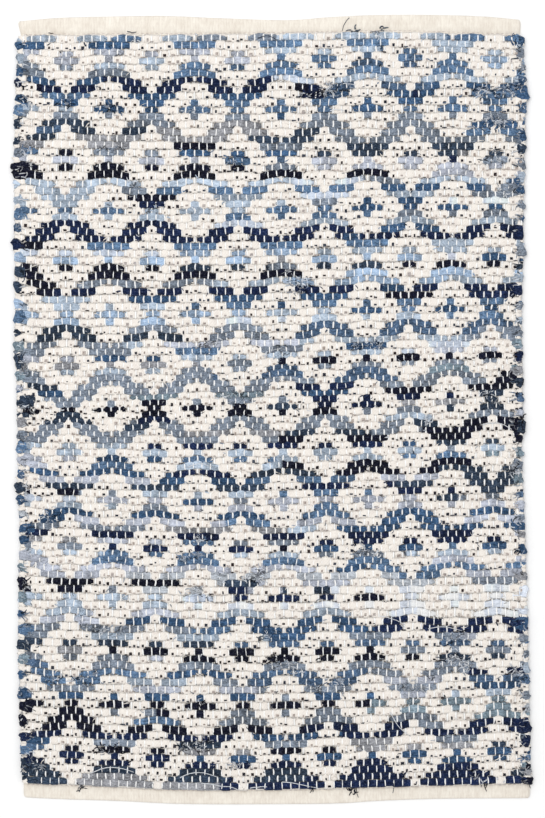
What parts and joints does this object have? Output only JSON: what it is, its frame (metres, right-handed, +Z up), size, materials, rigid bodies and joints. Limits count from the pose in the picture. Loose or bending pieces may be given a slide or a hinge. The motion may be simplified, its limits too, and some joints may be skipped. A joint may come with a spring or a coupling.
{
  "type": "rag rug",
  "caption": "Flat rectangular rug hand-woven from denim rag and soft cotton in rows of small diamonds, with a plain turned heading at each end.",
  "frame": {"origin": "middle of the rug's length and width, on its flat back", "axes": "+X across the rug along its weft rows, +Y along its length towards the far heading, +Z up out of its face"},
  "size_m": [0.622, 0.9416, 0.008],
  "materials": {
    "rag_weave": "denim rag and thick soft cotton weft on a cotton warp, matt, ribbed across",
    "heading_canvas": "plain-woven unbleached cotton, matt"
  },
  "bodies": {
    "root": {"rug": "rag_weave"}
  },
  "joints": []
}
